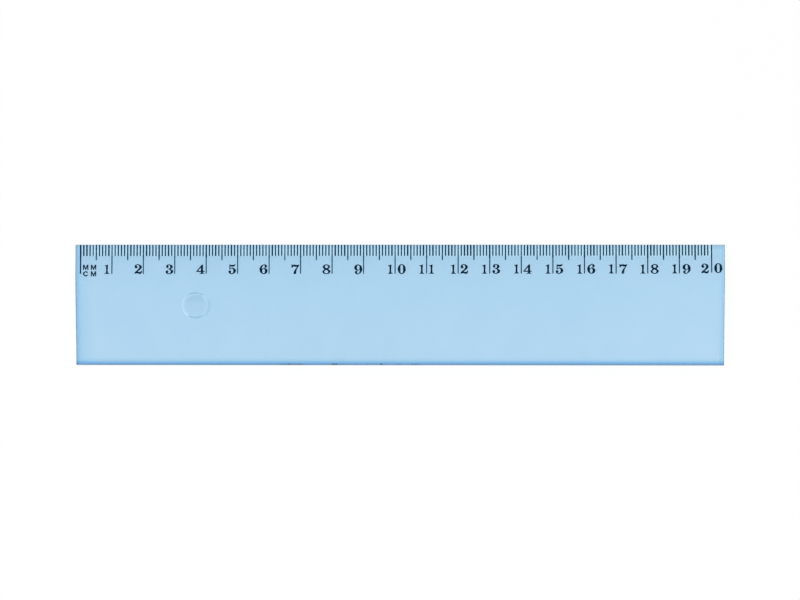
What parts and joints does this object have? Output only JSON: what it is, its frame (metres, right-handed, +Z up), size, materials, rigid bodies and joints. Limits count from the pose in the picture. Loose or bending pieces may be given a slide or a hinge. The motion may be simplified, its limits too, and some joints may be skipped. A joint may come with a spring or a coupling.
{
  "type": "plastic ruler",
  "caption": "Transparent blue plastic ruler with a long low bevel, its edge printed with a centimetre and millimetre scale.",
  "frame": {"origin": "under the middle of the ruler, on the surface that it lies on", "axes": "+X along the scale from its zero to its end, +Y towards the bevelled, graduated edge, +Z up out of the printed face"},
  "size_m": [0.2062, 0.0384, 0.0022],
  "materials": {
    "blue_plastic": "clear, glossy, light blue tint",
    "navy_ink": "satin printed film"
  },
  "bodies": {
    "root": {"figure_1": "navy_ink", "figure_10_tens": "navy_ink", "figure_10_units": "navy_ink", "figure_11_tens": "navy_ink", "figure_11_units": "navy_ink", "figure_12_tens": "navy_ink", "figure_12_units": "navy_ink", "figure_13_tens": "navy_ink", "figure_13_units": "navy_ink", "figure_14_tens": "navy_ink", "figure_14_units": "navy_ink", "figure_15_tens": "navy_ink", "figure_15_units": "navy_ink", "figure_16_tens": "navy_ink", "figure_16_units": "navy_ink", "figure_17_tens": "navy_ink", "figure_17_units": "navy_ink", "figure_18_tens": "navy_ink", "figure_18_units": "navy_ink", "figure_19_tens": "navy_ink", "figure_19_units": "navy_ink", "figure_2": "navy_ink", "figure_20_tens": "navy_ink", "figure_20_units": "navy_ink", "figure_3": "navy_ink", "figure_4": "navy_ink", "figure_5": "navy_ink", "figure_6": "navy_ink", "figure_7": "navy_ink", "figure_8": "navy_ink", "figure_9": "navy_ink", "graduation_zero": "navy_ink", "graduations_01": "navy_ink", "graduations_02": "navy_ink", "graduations_03": "navy_ink", "graduations_04": "navy_ink", "graduations_05": "navy_ink", "graduations_06": "navy_ink", "graduations_07": "navy_ink", "graduations_08": "navy_ink", "graduations_09": "navy_ink", "graduations_10": "navy_ink", "graduations_11": "navy_ink", "graduations_12": "navy_ink", "graduations_13": "navy_ink", "graduations_14": "navy_ink", "graduations_15": "navy_ink", "graduations_16": "navy_ink", "graduations_17": "navy_ink", "graduations_18": "navy_ink", "graduations_19": "navy_ink", "graduations_20": "navy_ink", "letter_lower_1": "navy_ink", "letter_lower_2": "navy_ink", "letter_upper_1": "navy_ink", "letter_upper_2": "navy_ink", "ruler_body": "blue_plastic"}
  },
  "joints": []
}
